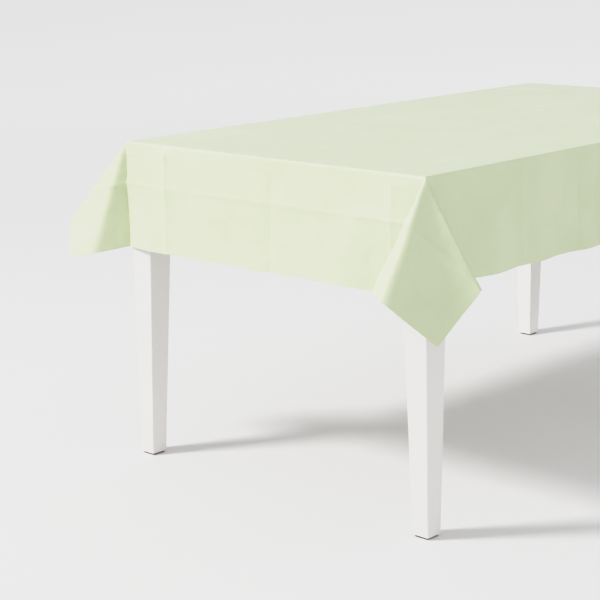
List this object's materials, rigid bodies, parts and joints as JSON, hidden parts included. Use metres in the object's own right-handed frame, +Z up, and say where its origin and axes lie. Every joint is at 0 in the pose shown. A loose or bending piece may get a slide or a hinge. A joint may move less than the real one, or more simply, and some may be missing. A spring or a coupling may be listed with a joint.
{
  "type": "tablecloth on a dining table",
  "caption": "Rectangular plastic-film tablecloth draped over a white dining table with tapered legs, its spare cloth folded into hanging corner flaps.",
  "frame": {"origin": "on the floor, under the middle of the table", "axes": "+X along the table's length, +Y towards its rear long side, +Z up"},
  "size_m": [1.7156, 1.2772, 0.75],
  "materials": {
    "film": "satin",
    "white_paint": "satin",
    "raw_wood": "matte",
    "bracket_steel": "satin",
    "fastener_steel": "satin",
    "felt": "matte"
  },
  "bodies": {
    "table": {"apron_front": "white_paint", "apron_left": "white_paint", "apron_rear": "white_paint", "apron_right": "white_paint", "bracket_screw_end_left_front": "fastener_steel", "bracket_screw_end_left_rear": "fastener_steel", "bracket_screw_end_right_front": "fastener_steel", "bracket_screw_end_right_rear": "fastener_steel", "bracket_screw_side_left_front": "fastener_steel", "bracket_screw_side_left_rear": "fastener_steel", "bracket_screw_side_right_front": "fastener_steel", "bracket_screw_side_right_rear": "fastener_steel", "clip_screw_apron_left_front": "fastener_steel", "clip_screw_apron_left_rear": "fastener_steel", "clip_screw_apron_right_front": "fastener_steel", "clip_screw_apron_right_rear": "fastener_steel", "clip_screw_top_left_front": "fastener_steel", "clip_screw_top_left_rear": "fastener_steel", "clip_screw_top_right_front": "fastener_steel", "clip_screw_top_right_rear": "fastener_steel", "corner_bracket_left_front": "bracket_steel", "corner_bracket_left_rear": "bracket_steel", "corner_bracket_right_front": "bracket_steel", "corner_bracket_right_rear": "bracket_steel", "cross_rail": "raw_wood", "foot_pad_left_front": "felt", "foot_pad_left_rear": "felt", "foot_pad_right_front": "felt", "foot_pad_right_rear": "felt", "hanger_bolt_left_front": "fastener_steel", "hanger_bolt_left_rear": "fastener_steel", "hanger_bolt_right_front": "fastener_steel", "hanger_bolt_right_rear": "fastener_steel", "hex_nut_left_front": "fastener_steel", "hex_nut_left_rear": "fastener_steel", "hex_nut_right_front": "fastener_steel", "hex_nut_right_rear": "fastener_steel", "leg_left_front": "white_paint", "leg_left_rear": "white_paint", "leg_right_front": "white_paint", "leg_right_rear": "white_paint", "rail_screw_front": "fastener_steel", "rail_screw_rear": "fastener_steel", "table_top": "white_paint", "top_clip_left_front": "bracket_steel", "top_clip_left_rear": "bracket_steel", "top_clip_right_front": "bracket_steel", "top_clip_right_rear": "bracket_steel", "washer_left_front": "fastener_steel", "washer_left_rear": "fastener_steel", "washer_right_front": "fastener_steel", "washer_right_rear": "fastener_steel"},
    "tablecloth": {"tablecloth": "film"}
  },
  "joints": [
    {"name": "cloth_lift", "type": "slide", "parent": "table", "child": "tablecloth", "axis": [0, 0, 1], "range_m": [0, 0.37]}
  ]
}
